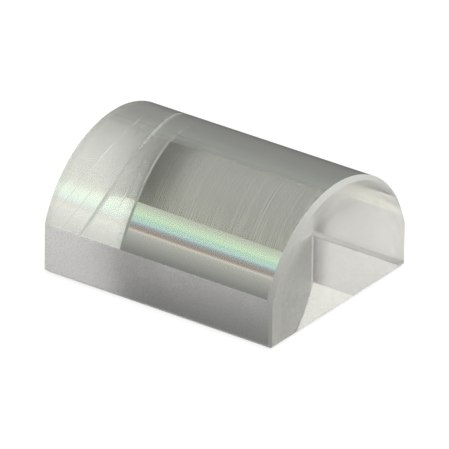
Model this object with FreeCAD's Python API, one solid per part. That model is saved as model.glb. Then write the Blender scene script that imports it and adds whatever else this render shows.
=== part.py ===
import FreeCAD, Part
import os

# Plano-convex cylindrical lens, ground and polished from one block of crown glass.
#
# Frame, in millimetres: the origin is the middle of the flat (plano) face. +X runs along
# the axis of the cylinder, +Y runs across the lens, the way in which it focuses, and +Z is
# the optical axis, out through the top line of the convex face.
#
# The plano face is the bottom. Two ground side walls stand on it and two flat end faces
# close the block. The convex face is a single cylinder that spans from wall to wall. It
# meets each wall at a flat angle, so that edge stays sharp. The other edges are square and
# have a fine protective bevel: along the foot of each wall, and right round each end face.
# The bevels are ground by hand and differ: the broadest is the rim of the right end face.

# Driving sizes
LENGTH = 12.0          # along the axis of the cylinder, over both end faces
WIDTH = 10.0           # across the lens, over both side walls
EDGE_THICKNESS = 2.36  # from the plano face up to the edge where a wall meets the convex face
CONVEX_RISE = 3.54     # from that edge up to the top line of the convex face
FRONT_FOOT_BEVEL = 0.2 # leg of the 45 degree bevel between the plano face and the -Y wall
BACK_FOOT_BEVEL = 0.14 # leg of the bevel between the plano face and the +Y wall
RIM_BEVEL = 0.2        # leg of the bevel between the right end face and the convex face
RIGHT_BEVEL = 0.12     # leg of the bevel along the straight edges of the right end face
LEFT_BEVEL = 0.07      # leg of the bevel right round the left end face

# Sizes that follow from them
HALF_LENGTH = LENGTH / 2
HALF_WIDTH = WIDTH / 2
CENTRE_THICKNESS = EDGE_THICKNESS + CONVEX_RISE
CONVEX_RADIUS = (HALF_WIDTH ** 2 + CONVEX_RISE ** 2) / (2 * CONVEX_RISE)
AXIS_HEIGHT = CENTRE_THICKNESS - CONVEX_RADIUS
BLANK_HEIGHT = CENTRE_THICKNESS + CONVEX_RISE  # spare glass over the top line, ground away


def flat(outline):
    """The flat face inside this outline of corner points."""
    corners = [FreeCAD.Vector(*corner) for corner in outline]
    return Part.Face(Part.makePolygon(corners + corners[:1]))


def bar_across():
    """A bar as long as the lens, whose outline has the walls and the foot bevels."""
    x, y, top = -HALF_LENGTH, HALF_WIDTH, BLANK_HEIGHT
    outline = [(x, -y, top), (x, -y, FRONT_FOOT_BEVEL), (x, FRONT_FOOT_BEVEL - y, 0),
               (x, y - BACK_FOOT_BEVEL, 0), (x, y, BACK_FOOT_BEVEL), (x, y, top)]
    return flat(outline).extrude(FreeCAD.Vector(LENGTH, 0, 0))


def bar_upright():
    """An upright bar, whose outline has the bevels between the walls and the end faces."""
    x, y = HALF_LENGTH, HALF_WIDTH
    x_right, y_right = x - RIGHT_BEVEL, y - RIGHT_BEVEL
    x_left, y_left = LEFT_BEVEL - x, y - LEFT_BEVEL
    outline = [(x_right, -y, 0), (x, -y_right, 0), (x, y_right, 0), (x_right, y, 0),
               (x_left, y, 0), (-x, y_left, 0), (-x, -y_left, 0), (x_left, -y, 0)]
    return flat(outline).extrude(FreeCAD.Vector(0, 0, BLANK_HEIGHT))


def bar_lengthwise():
    """A bar as deep as the lens is wide, with the bevels under the two end faces."""
    x, y, top = HALF_LENGTH, -HALF_WIDTH, BLANK_HEIGHT
    outline = [(LEFT_BEVEL - x, y, 0), (x - RIGHT_BEVEL, y, 0), (x, y, RIGHT_BEVEL),
               (x, y, top), (-x, y, top), (-x, y, LEFT_BEVEL)]
    return flat(outline).extrude(FreeCAD.Vector(0, WIDTH, 0))


def convex_bar():
    """A round bar with the radius of the convex face, bevelled round both of its ends."""
    x, z = HALF_LENGTH, AXIS_HEIGHT
    z_arc = z - CONVEX_RADIUS
    outline = [(-x, 0, z), (-x, 0, z_arc + LEFT_BEVEL), (LEFT_BEVEL - x, 0, z_arc),
               (x - RIM_BEVEL, 0, z_arc), (x, 0, z_arc + RIM_BEVEL), (x, 0, z)]
    return flat(outline).revolve(FreeCAD.Vector(0, 0, z), FreeCAD.Vector(1, 0, 0), 360)


def make_lens():
    """The lens is the glass that all four bars have in common, so each bevel is one clean cut."""
    blank = bar_across().common(bar_upright()).common(bar_lengthwise())
    return blank.common(convex_bar()).Solids[0]


lens = make_lens()

os.makedirs("parts", exist_ok=True)
lens.exportStep("parts/lens.step")
print("lens: convex radius %.3f mm, centre thickness %.3f mm, volume %.2f mm3, valid %s"
      % (CONVEX_RADIUS, CENTRE_THICKNESS, lens.Volume, lens.isValid()))
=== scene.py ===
import math
import bpy
from mathutils import Matrix, Vector


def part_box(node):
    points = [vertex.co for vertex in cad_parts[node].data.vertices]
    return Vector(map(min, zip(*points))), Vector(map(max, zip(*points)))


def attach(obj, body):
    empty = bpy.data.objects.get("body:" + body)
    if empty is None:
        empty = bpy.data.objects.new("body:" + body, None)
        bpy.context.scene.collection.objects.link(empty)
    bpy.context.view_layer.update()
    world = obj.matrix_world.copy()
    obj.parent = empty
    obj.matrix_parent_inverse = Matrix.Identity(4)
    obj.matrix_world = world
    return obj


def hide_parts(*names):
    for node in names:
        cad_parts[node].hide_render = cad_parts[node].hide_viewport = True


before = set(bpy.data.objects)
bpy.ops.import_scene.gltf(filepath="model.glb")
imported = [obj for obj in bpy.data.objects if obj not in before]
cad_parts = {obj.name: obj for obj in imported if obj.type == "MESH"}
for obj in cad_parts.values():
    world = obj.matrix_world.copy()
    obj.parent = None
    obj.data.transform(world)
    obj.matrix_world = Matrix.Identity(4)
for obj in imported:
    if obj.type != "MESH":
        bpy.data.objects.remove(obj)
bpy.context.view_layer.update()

# Plano-convex cylindrical lens lying on its flat face on a white studio sheet.
# The glass is one piece. It is cut here from a finely divided round bar, with the sizes of the
# CAD solid, because light bends cleanly only through a smooth convex face.

MM = 0.001

# Sizes of the lens
lens_low, lens_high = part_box("lens")
HALF_LENGTH = lens_high.x
HALF_WIDTH = lens_high.y
CENTRE_THICKNESS = lens_high.z
EDGE_THICKNESS = 2.36 * MM      # plano face to the edge between wall and convex face
FRONT_FOOT_BEVEL = 0.2 * MM     # leg of the bevel between the plano face and the front (-Y) wall
BACK_FOOT_BEVEL = 0.14 * MM     # leg of the bevel between the plano face and the back (+Y) wall
RIM_BEVEL = 0.2 * MM            # leg of the bevel between the right end face and the convex face
RIGHT_BEVEL = 0.12 * MM         # leg of the bevel along the straight edges of the right end face
LEFT_BEVEL = 0.07 * MM          # leg of the bevel right round the left end face
CONVEX_RISE = CENTRE_THICKNESS - EDGE_THICKNESS
CONVEX_RADIUS = (HALF_WIDTH ** 2 + CONVEX_RISE ** 2) / (2 * CONVEX_RISE)
AXIS_HEIGHT = CENTRE_THICKNESS - CONVEX_RADIUS
FACETS_ROUND_THE_BAR = 720
CUT_TOLERANCE = 1e-8            # metres, far below the size of a facet
SAME_POINT = 1e-7               # metres: corners nearer than this are one corner
SMOOTH_ANGLE = 8                # degrees: more than between two facets, less than at any edge

# Part of a face's normal that lies along an axis
SQUARE_ON = 0.99                # from here on the face is square to that axis
TILTED = 0.1                    # from here on it leans that way

# Glass. A tint is what light keeps of each colour, and see-through is the share that goes on
# through the surface. Scales count features to the metre, and a small stretch draws them out.
CROWN_GLASS_IOR = 1.517

# Polished faces: a faint film left by wiping, drawn out across the lens
POLISH_TINT = (0.955, 0.985, 0.905)
COATING_TINT = (0.4, 0.62, 0.45)    # thin coating: a weak reflection, slightly green
WIPE_SCALE = 700
WIPE_STRETCH = (1, 0.4, 0.4)
WIPE_START, WIPE_FULL = 0.55, 0.8   # of the pattern: where the film begins and where it is full
WIPE_ROUGHNESS = 0.012

# Side walls, fine ground. How see-through they are rises from "left end" to "middle", which is
# reached at the share "reach" of the half length left of the middle. The scale, stretch, dimming
# and depth are those of the marks of the wheel.
WALL_TINT = (0.96, 0.93, 0.955)
WALL_ROUGHNESS = 0.45
MARK_DARK, MARK_CLEAR = 0.35, 0.6   # of the pattern: where a mark dims most and where not at all
FRONT_WALL = {"scale": 12000, "stretch": (1, 1, 1), "dimming": 0.2, "depth": 0.002 * MM,
              "left end": 0.75, "middle": 1.0, "reach": 0.4}
BACK_WALL = {"scale": 14000, "stretch": (1, 1, 0.06), "dimming": 0.0, "depth": 0.027 * MM,
             "left end": 0.55, "middle": 0.97, "reach": 0.6}

# Bevels, ground by hand and left matt. Only the rim carries painted shade: its tint is dimmed
# towards the front wall, down to a share given in its finish.
THIN_TINT = (0.95, 0.95, 0.93)
# The right rim: its finish, with the share of painted shade at the front wall
RIM_FINISH_AND_PAINTED_SHADE = {"tint": (0.85, 0.85, 0.83), "roughness": 0.5, "see-through": 0.4,
              "front painted shade": 0.55}
RIGHT_BEVEL_FINISH = {"tint": (0.45, 0.45, 0.44), "roughness": 0.5, "see-through": 0.5}
LEFT_BEVEL_FINISH = {"tint": THIN_TINT, "roughness": 0.45, "see-through": 0.65}
LEFT_FOOT_FINISH = {"tint": THIN_TINT, "roughness": 0.8, "see-through": 1.0}
FOOT_BEVEL_FINISH = {"tint": THIN_TINT, "roughness": 0.35, "see-through": 0.7}
# Painted shade on the rim: the tint level with no shade, and where the shade has faded out to it
UNSHADED_LEVEL = 1.0
PAINTED_SHADE_ENDS_AT = 0.3             # share of the half width in front of the middle
BEVEL_GRAIN_SCALE = 20000
BEVEL_GRAIN_DEPTH = 0.002 * MM
GRAIN_LOW, GRAIN_HIGH = 0.3, 0.7    # of the pattern: where it is smoothest and where roughest
GRAIN_UNEVENNESS = 0.1          # how far the grain takes the roughness to either side

# End faces, half polished: clear between fine pits. A pit is where the pattern rises over the
# level. The level falls from the middle to the curved rim, so the pits crowd together there.
# The marks are those of level grinding, with their depth, and the scores are single grooves,
# with their heights over the plano face.
END_TINT = (1.0, 0.98, 0.93)
PIT_SCALE = 60000
PIT_EDGE = 0.01                 # of the pattern: how soft the edge of a pit is
HAZE_START = 4.0 * MM           # from the axis of the cylinder: here the level begins to fall
HAZE_FULL = 4.8 * MM            # and here it has come down to that of the rim
RIGHT_END = {"smooth": 0.04, "rough": 0.4, "middle level": 0.62, "rim level": 0.36,
             "marks": 0, "scores": ()}
LEFT_END = {"smooth": 0.02, "rough": 0.6, "middle level": 0.54, "rim level": 0.46,
            "marks": 0.003 * MM, "scores": (0.15 * MM, 1.3 * MM, 2.45 * MM)}
BROAD_MARKS = (2500, (1, 0.06, 1))  # scale and stretch
FINE_MARKS = (9000, (1, 0.03, 1))
SCORE_WIDTH = 0.12 * MM
SCORE_DEPTH = 0.003 * MM

# Floor: a white sheet that ends just behind the lens. The camera sees it glow, with a little
# paper that takes the shadow. The glass sees paper, of which a share glows.
FLOOR_GAP = 0.03 * MM           # the lens stands a hair above the floor
SHEET_SIZE = 0.14
SHEET_BACK_EDGE = 0.01          # from the middle of the lens
FLOOR_SEEN_WHITE = 0.85
FLOOR_SEEN_PAPER = 0.25
FLOOR_PAPER = 0.8
FLOOR_GLOW = 0.285

# Camera, fitted to the outline in the photograph: angles in degrees, sensor and lens in mm
CAMERA_AZIMUTH = 35.63
CAMERA_ELEVATION = 26.97
CAMERA_ROLL = 0.7
CAMERA_DISTANCE = 393.84 * MM
CAMERA_AIM = Vector((-0.045, 0, 2.114)) * MM
CAMERA_SENSOR = 36
CAMERA_LENS = 735.1
NEAREST_SEEN, FARTHEST_SEEN = 0.01, 10

# Lamps, as soft round cards: where each one is, how many degrees it reaches from its middle,
# and its strength
LEFT_CARD = ((-1, -0.25, 0.3), 45, 1.4)
RIGHT_CARD = ((0.55, 0.6, 0.45), 45, 0.54)
KEY_CARD = ((0.15, 0.1, 0.95), 32, 3.0)
CARDS = (LEFT_CARD, RIGHT_CARD, KEY_CARD)
CARD_CORE = 0.45                # share of its reach within which a card has its full strength

# Sweep of the studio, as stops of degrees over the horizon and colour. The glass shows the
# stripes as its coloured strip. They follow the order of colours of a thin film.
ZENITH = 90
HORIZON = (0.1, 0.1, 0.1)
BACK_DARK = (0.33, 0.34, 0.25)
OVERHEAD = (0.8, 0.8, 0.8)
LOW_SWEEP = ((0, HORIZON), (20, HORIZON))
SHOULDER = (31, (0.45, 0.45, 0.43))
STRIPES = (
    (31.6, (0.65, 0.59, 0.55)),     # cream
    (32.2, (0.33, 0.265, 0.24)),    # brown
    (33, (0.33, 0.29, 0.29)),
    (33.8, (0.33, 0.38, 0.42)),     # blue
    (34.4, (0.46, 0.64, 0.65)),
    (36.0, (0.48, 0.66, 0.51)),     # green
    (36.35, (0.6, 0.79, 0.6)),      # pale
)
HIGH_SWEEP = ((41, BACK_DARK), (60, BACK_DARK), (66, OVERHEAD), (ZENITH, OVERHEAD))
BACK_SKY = (*LOW_SWEEP, (26, (0.24, 0.24, 0.24)), SHOULDER, *STRIPES,
            (39.6, (0.5, 0.5, 0.45)), *HIGH_SWEEP)
FRONT_SKY = (*LOW_SWEEP, (26, (0.27, 0.27, 0.26)), SHOULDER,
             (39.6, (0.5, 0.5, 0.47)), *HIGH_SWEEP)
SKY_SEAM = 0.1                  # the two skies fade into each other this far to either side

MOST_BOUNCES = 24               # enough for light that turns round inside the lens


# Small helpers for the modelling

def deselect_all():
    for obj in bpy.context.selected_objects:
        obj.select_set(False)


def bevel_rim_of_bar(bar, end, leg):
    """Bevels the sharp rim at one end of the round bar, which still lies along its own Z."""
    bpy.ops.object.mode_set(mode="EDIT")
    bpy.ops.mesh.select_mode(type="EDGE")
    bpy.ops.mesh.select_all(action="DESELECT")
    bpy.ops.object.mode_set(mode="OBJECT")
    for edge in bar.data.edges:
        heights = [bar.data.vertices[i].co.z for i in edge.vertices]
        edge.select = all(abs(height - end * HALF_LENGTH) < SAME_POINT for height in heights)
    bpy.ops.object.mode_set(mode="EDIT")
    bpy.ops.mesh.bevel(offset=leg, offset_type="OFFSET", segments=1)
    bpy.ops.object.mode_set(mode="OBJECT")


def grind_flat(point, normal):
    """Cuts the glass away on the side the normal points to, and closes the cut with a flat face."""
    bpy.ops.mesh.select_all(action="SELECT")
    bpy.ops.mesh.bisect(plane_co=point, plane_no=normal, use_fill=True, clear_outer=True,
                        threshold=CUT_TOLERANCE)


def make_lens_blank():
    """A round bar with the radius of the convex face, lying along X, with both rims bevelled."""
    deselect_all()
    bpy.ops.mesh.primitive_cylinder_add(
        vertices=FACETS_ROUND_THE_BAR, radius=CONVEX_RADIUS, depth=2 * HALF_LENGTH,
        location=(0, 0, AXIS_HEIGHT), rotation=(0, math.pi / 2, 0))
    bar = bpy.context.active_object
    bar.name = "lens_glass"
    bevel_rim_of_bar(bar, 1, RIM_BEVEL)
    bevel_rim_of_bar(bar, -1, LEFT_BEVEL)
    bpy.ops.object.transform_apply(location=True, rotation=True, scale=True)
    return bar


def cut_faces():
    """Grinds the flat faces and their bevels into the active bar: plano face, walls, then bevels."""
    bpy.ops.object.mode_set(mode="EDIT")
    grind_flat((0, 0, 0), (0, 0, -1))
    for side in (-1, 1):
        grind_flat((0, side * HALF_WIDTH, 0), (0, side, 0))
    for side, leg in ((-1, FRONT_FOOT_BEVEL), (1, BACK_FOOT_BEVEL)):
        grind_flat((0, side * HALF_WIDTH, leg), (0, side, -1))
    for end, leg in ((-1, LEFT_BEVEL), (1, RIGHT_BEVEL)):
        grind_flat((end * HALF_LENGTH, 0, leg), (end, 0, -1))
        for side in (-1, 1):
            grind_flat((end * HALF_LENGTH, side * (HALF_WIDTH - leg), 0), (end, side, 0))
    bpy.ops.mesh.select_all(action="SELECT")
    bpy.ops.mesh.remove_doubles(threshold=SAME_POINT)
    bpy.ops.mesh.normals_make_consistent(inside=False)
    bpy.ops.object.mode_set(mode="OBJECT")
    bpy.ops.object.shade_smooth_by_angle(angle=math.radians(SMOOTH_ANGLE))


def give_finishes(lens, finishes):
    """Each face gets its finish by the way it faces."""
    names = list(finishes)
    for finish in finishes.values():
        lens.data.materials.append(finish)
    for face in lens.data.polygons:
        along, across, up = face.normal
        if along > SQUARE_ON:
            name = "right end"
        elif along < -SQUARE_ON:
            name = "left end"
        elif abs(across) > SQUARE_ON:
            name = "front wall" if across < 0 else "back wall"
        elif along > TILTED:
            name = "right rim" if up > TILTED else "right bevel"
        elif along < -TILTED:
            name = "left foot" if up < -TILTED else "left bevel"
        elif -SQUARE_ON < up < -TILTED:
            name = "foot bevel"
        else:
            name = "polished"
        face.material_index = names.index(name)


# Small helpers for the materials

def new_material(name):
    mat = bpy.data.materials.new(name)
    mat.use_nodes = True
    nodes, links = mat.node_tree.nodes, mat.node_tree.links
    nodes.clear()
    return mat, nodes, links


def add(nodes, kind, **settings):
    node = nodes.new(kind)
    for key, value in settings.items():
        setattr(node, key, value)
    return node


def new_glass(name, tint, roughness, see_through=1.0):
    """Crown glass on one shader, with Object coordinates at hand for its finish."""
    mat, nodes, links = new_material(name)
    out = add(nodes, "ShaderNodeOutputMaterial")
    glass = add(nodes, "ShaderNodeBsdfPrincipled")
    glass.inputs["Base Color"].default_value = (*tint, 1)
    glass.inputs["Roughness"].default_value = roughness
    glass.inputs["IOR"].default_value = CROWN_GLASS_IOR
    glass.inputs["Transmission Weight"].default_value = see_through
    links.new(glass.outputs[0], out.inputs["Surface"])
    coords = add(nodes, "ShaderNodeTexCoord")
    return mat, nodes, links, glass, coords.outputs["Object"]


def pattern(nodes, links, place, scale, stretch=(1, 1, 1), detail=0):
    """Noise with this many features to the metre, drawn out along an axis whose stretch is small."""
    mapping = add(nodes, "ShaderNodeMapping")
    mapping.inputs["Scale"].default_value = stretch
    links.new(place, mapping.inputs["Vector"])
    noise = add(nodes, "ShaderNodeTexNoise")
    noise.inputs["Scale"].default_value = scale
    noise.inputs["Detail"].default_value = detail
    links.new(mapping.outputs["Vector"], noise.inputs["Vector"])
    return noise.outputs["Fac"]


def between(nodes, links, value, low, high, result_low, result_high, smooth=False):
    """Turns the value from low to high into the result from result_low to result_high."""
    ramp = add(nodes, "ShaderNodeMapRange", interpolation_type="SMOOTHSTEP" if smooth else "LINEAR")
    ends = {"From Min": low, "From Max": high, "To Min": result_low, "To Max": result_high}
    for socket, number in ends.items():
        ramp.inputs[socket].default_value = number
    links.new(value, ramp.inputs["Value"])
    return ramp.outputs["Result"]


def combine(nodes, links, operation, first, second=0):
    """Reckons with one or two values, each of them a number or what comes out of a node."""
    maths = add(nodes, "ShaderNodeMath", operation=operation)
    for socket, value in zip(maths.inputs, (first, second)):
        if isinstance(value, (int, float)):
            socket.default_value = value
        else:
            links.new(value, socket)
    return maths.outputs[0]


def split_axes(nodes, links, place):
    split = add(nodes, "ShaderNodeSeparateXYZ")
    links.new(place, split.inputs[0])
    return split.outputs


def distance_from_axis(nodes, links, place):
    """How far a place lies from the axis of the cylinder."""
    from_axis = add(nodes, "ShaderNodeMapping")
    from_axis.inputs["Location"].default_value = (0, 0, -AXIS_HEIGHT)
    from_axis.inputs["Scale"].default_value = (0, 1, 1)
    links.new(place, from_axis.inputs["Vector"])
    radius = add(nodes, "ShaderNodeVectorMath", operation="LENGTH")
    links.new(from_axis.outputs["Vector"], radius.inputs[0])
    return radius.outputs["Value"]


def dim(nodes, links, glass, tint, level):
    """Tints the glass with this colour, times the level."""
    mix = add(nodes, "ShaderNodeMix", data_type="RGBA", blend_type="MULTIPLY")
    mix.inputs["Factor"].default_value = 1
    mix.inputs["A"].default_value = (*tint, 1)
    links.new(level, mix.inputs["B"])
    links.new(mix.outputs["Result"], glass.inputs["Base Color"])


def roughen(nodes, links, glass, height, depth):
    """Lets the height pattern tilt the surface; the depth is that of its deepest mark."""
    bump = add(nodes, "ShaderNodeBump")
    bump.inputs["Distance"].default_value = depth
    links.new(height, bump.inputs["Height"])
    links.new(bump.outputs["Normal"], glass.inputs["Normal"])


# Finishes

def make_polished_glass():
    """Convex and plano faces: optical polish under a thin coating."""
    mat, nodes, links, glass, place = new_glass("polished_crown_glass", POLISH_TINT, 0.0)
    glass.inputs["Specular Tint"].default_value = (*COATING_TINT, 1)
    wipe = pattern(nodes, links, place, WIPE_SCALE, WIPE_STRETCH, detail=2)
    film = between(nodes, links, wipe, WIPE_START, WIPE_FULL, 0.0, WIPE_ROUGHNESS)
    links.new(film, glass.inputs["Roughness"])
    return mat


def pit_roughness(nodes, links, place, finish):
    """Rough in the pits and smooth between them."""
    distance = distance_from_axis(nodes, links, place)
    level = between(nodes, links, distance, HAZE_START, HAZE_FULL,
                    finish["middle level"], finish["rim level"], smooth=True)
    over = combine(nodes, links, "SUBTRACT", pattern(nodes, links, place, PIT_SCALE), level)
    return between(nodes, links, over, -PIT_EDGE, PIT_EDGE, finish["smooth"], finish["rough"])


def grinding_marks(nodes, links, place, finish):
    """Height of the level grinding marks, less the scores, in depths of one score."""
    broad, fine = [pattern(nodes, links, place, scale, stretch, detail=1)
                   for scale, stretch in (BROAD_MARKS, FINE_MARKS)]
    height = combine(nodes, links, "ADD", broad, fine)
    height = combine(nodes, links, "MULTIPLY", height, finish["marks"] / SCORE_DEPTH)
    up = split_axes(nodes, links, place)["Z"]
    for score in finish["scores"]:
        off = combine(nodes, links, "ABSOLUTE", combine(nodes, links, "SUBTRACT", up, score))
        groove = between(nodes, links, off, 0, SCORE_WIDTH / 2, 1, 0, smooth=True)
        height = combine(nodes, links, "SUBTRACT", height, groove)
    return height


def make_end_glass(name, finish):
    """End faces: half polished, so clear between their pits, with grinding marks and scores."""
    mat, nodes, links, glass, place = new_glass(name, END_TINT, finish["smooth"])
    links.new(pit_roughness(nodes, links, place, finish), glass.inputs["Roughness"])
    roughen(nodes, links, glass, grinding_marks(nodes, links, place, finish), SCORE_DEPTH)
    return mat


def make_wall_glass(name, finish):
    """Side walls: fine ground, with the marks of the wheel, and less see-through towards the left
    end.
    """
    mat, nodes, links, glass, place = new_glass(name, WALL_TINT, WALL_ROUGHNESS)
    marks = pattern(nodes, links, place, finish["scale"], finish["stretch"], detail=1)
    clear = between(nodes, links, marks, MARK_DARK, MARK_CLEAR, 1 - finish["dimming"], 1)
    dim(nodes, links, glass, WALL_TINT, clear)
    along = split_axes(nodes, links, place)["X"]
    see_through_along = between(nodes, links, along, -HALF_LENGTH, -HALF_LENGTH * finish["reach"],
                   finish["left end"], finish["middle"], smooth=True)
    links.new(combine(nodes, links, "MULTIPLY", clear, see_through_along), glass.inputs["Transmission Weight"])
    roughen(nodes, links, glass, marks, finish["depth"])
    return mat


def make_ground_glass(name, finish):
    """Bevels: matt, with a fine grain, and painted shade that dims the tint to a given share at the
    front wall.
    """
    tint, roughness = finish["tint"], finish["roughness"]
    mat, nodes, links, glass, place = new_glass(name, tint, roughness, finish["see-through"])
    # Painted shade: the tint darkens from the middle towards the front wall
    across = split_axes(nodes, links, place)["Y"]
    level = between(nodes, links, across, -HALF_WIDTH, -HALF_WIDTH * PAINTED_SHADE_ENDS_AT,
                    finish.get("front painted shade", UNSHADED_LEVEL), UNSHADED_LEVEL)
    dim(nodes, links, glass, tint, level)
    grain = pattern(nodes, links, place, BEVEL_GRAIN_SCALE, detail=2)
    uneven = between(nodes, links, grain, GRAIN_LOW, GRAIN_HIGH,
                     roughness - GRAIN_UNEVENNESS, roughness + GRAIN_UNEVENNESS)
    links.new(uneven, glass.inputs["Roughness"])
    roughen(nodes, links, glass, grain, BEVEL_GRAIN_DEPTH)
    return mat


# Studio

def split_by_ray(nodes, links, seen, unseen):
    """The camera sees the first shader, and every other ray meets the second."""
    path = add(nodes, "ShaderNodeLightPath")
    both = add(nodes, "ShaderNodeMixShader")
    links.new(path.outputs["Is Camera Ray"], both.inputs["Fac"])
    links.new(unseen, both.inputs[1])
    links.new(seen, both.inputs[2])
    return both.outputs[0]


def paper(nodes, grey):
    sheet = add(nodes, "ShaderNodeBsdfDiffuse")
    sheet.inputs["Color"].default_value = (grey, grey, grey, 1)
    return sheet.outputs[0]


def glow(nodes, strength):
    light = add(nodes, "ShaderNodeEmission")
    light.inputs["Strength"].default_value = strength
    return light.outputs[0]


def make_floor():
    """The white sheet under the lens."""
    deselect_all()
    bpy.ops.mesh.primitive_plane_add(
        size=SHEET_SIZE, location=(0, SHEET_BACK_EDGE - SHEET_SIZE / 2, -FLOOR_GAP))
    floor = bpy.context.active_object
    floor.name = "studio_floor"
    bpy.ops.object.transform_apply(location=True, rotation=True, scale=True)
    mat, nodes, links = new_material("white_studio_floor")
    out = add(nodes, "ShaderNodeOutputMaterial")
    seen = add(nodes, "ShaderNodeAddShader")
    links.new(glow(nodes, FLOOR_SEEN_WHITE), seen.inputs[0])
    links.new(paper(nodes, FLOOR_SEEN_PAPER), seen.inputs[1])
    unseen = add(nodes, "ShaderNodeMixShader")
    unseen.inputs["Fac"].default_value = FLOOR_GLOW
    links.new(paper(nodes, FLOOR_PAPER), unseen.inputs[1])
    links.new(glow(nodes, 1.0), unseen.inputs[2])
    shader = split_by_ray(nodes, links, seen.outputs[0], unseen.outputs[0])
    links.new(shader, out.inputs["Surface"])
    floor.data.materials.append(mat)


def camera_axes():
    """Right, up and backwards, as the camera lies."""
    azimuth, elevation, roll = map(math.radians, (CAMERA_AZIMUTH, CAMERA_ELEVATION, CAMERA_ROLL))
    back = Vector((math.sin(azimuth) * math.cos(elevation),
                   -math.cos(azimuth) * math.cos(elevation),
                   math.sin(elevation)))
    level_right = Vector((math.cos(azimuth), math.sin(azimuth), 0))
    level_up = back.cross(level_right)
    right = level_right * math.cos(roll) + level_up * math.sin(roll)
    up = -level_right * math.sin(roll) + level_up * math.cos(roll)
    return right, up, back


def make_camera():
    right, up, back = camera_axes()
    data = bpy.data.cameras.new("photo_camera")
    data.sensor_width = CAMERA_SENSOR
    data.lens = CAMERA_LENS
    data.clip_start = NEAREST_SEEN
    data.clip_end = FARTHEST_SEEN
    camera = bpy.data.objects.new("photo_camera", data)
    bpy.context.scene.collection.objects.link(camera)
    camera.location = CAMERA_AIM + back * CAMERA_DISTANCE
    camera.rotation_mode = "QUATERNION"
    camera.rotation_quaternion = Matrix((right, up, back)).transposed().to_quaternion()
    bpy.context.scene.camera = camera


def sky_ramp(nodes, links, height, stops):
    """Colour by height over the horizon, from stops of (degrees, colour)."""
    ramp = add(nodes, "ShaderNodeValToRGB")
    elements = ramp.color_ramp.elements
    for degrees, colour in stops[1:-1]:
        elements.new(degrees / ZENITH)
    for element, (degrees, colour) in zip(elements, stops):
        element.position = degrees / ZENITH
        element.color = (*colour, 1)
    links.new(height, ramp.inputs["Fac"])
    return ramp.outputs["Color"]


def make_sky(nodes, links, direction):
    """The front sky before the lens and the back sky behind it."""
    axes = split_axes(nodes, links, direction)
    height = combine(nodes, links, "ARCSINE", axes["Z"])
    height = combine(nodes, links, "DIVIDE", height, math.pi / 2)
    behind = between(nodes, links, axes["Y"], -SKY_SEAM, SKY_SEAM, 0, 1, smooth=True)
    sky = add(nodes, "ShaderNodeMix", data_type="RGBA")
    links.new(behind, sky.inputs["Factor"])
    links.new(sky_ramp(nodes, links, height, FRONT_SKY), sky.inputs["A"])
    links.new(sky_ramp(nodes, links, height, BACK_SKY), sky.inputs["B"])
    return sky.outputs["Result"]


def add_card(nodes, links, direction, light, card):
    """Adds the light of one card to that of the studio."""
    towards, size, strength = card
    facing = add(nodes, "ShaderNodeVectorMath", operation="DOT_PRODUCT")
    links.new(direction, facing.inputs[0])
    facing.inputs[1].default_value = Vector(towards).normalized()
    lamp = between(nodes, links, facing.outputs["Value"], math.cos(math.radians(size)),
                   math.cos(math.radians(size * CARD_CORE)), 0, strength, smooth=True)
    total = add(nodes, "ShaderNodeMix", data_type="RGBA", blend_type="ADD", clamp_result=False)
    total.inputs["Factor"].default_value = 1
    links.new(light, total.inputs["A"])
    links.new(lamp, total.inputs["B"])
    return total.outputs["Result"]


def make_world():
    """Grey studio with its lamps. Only the camera sees plain white, as in the photograph."""
    world = bpy.data.worlds.new("studio_sweep")
    world.use_nodes = True
    nodes, links = world.node_tree.nodes, world.node_tree.links
    nodes.clear()
    out = add(nodes, "ShaderNodeOutputWorld")
    direction = add(nodes, "ShaderNodeTexCoord").outputs["Generated"]
    light = make_sky(nodes, links, direction)
    for card in CARDS:
        light = add_card(nodes, links, direction, light, card)
    sweep = add(nodes, "ShaderNodeBackground")
    links.new(light, sweep.inputs["Color"])
    white = add(nodes, "ShaderNodeBackground")
    white.inputs["Color"].default_value = (1, 1, 1, 1)
    shader = split_by_ray(nodes, links, white.outputs[0], sweep.outputs[0])
    links.new(shader, out.inputs["Surface"])
    bpy.context.scene.world = world


def set_render_look():
    scene = bpy.context.scene
    scene.view_settings.view_transform = "Standard"
    scene.cycles.max_bounces = MOST_BOUNCES
    scene.cycles.transmission_bounces = MOST_BOUNCES
    scene.cycles.glossy_bounces = MOST_BOUNCES
    scene.cycles.caustics_refractive = False
    scene.cycles.caustics_reflective = False


lens = make_lens_blank()
cut_faces()
give_finishes(lens, {
    "polished": make_polished_glass(),
    "right end": make_end_glass("right_end_glass", RIGHT_END),
    "left end": make_end_glass("left_end_glass", LEFT_END),
    "front wall": make_wall_glass("front_wall_glass", FRONT_WALL),
    "back wall": make_wall_glass("back_wall_glass", BACK_WALL),
    "right rim": make_ground_glass("right_rim_glass", RIM_FINISH_AND_PAINTED_SHADE),
    "right bevel": make_ground_glass("right_bevel_glass", RIGHT_BEVEL_FINISH),
    "left bevel": make_ground_glass("left_bevel_glass", LEFT_BEVEL_FINISH),
    "left foot": make_ground_glass("left_foot_glass", LEFT_FOOT_FINISH),
    "foot bevel": make_ground_glass("foot_bevel_glass", FOOT_BEVEL_FINISH),
})
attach(lens, "root")
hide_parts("lens")

make_floor()
make_camera()
make_world()
set_render_look()
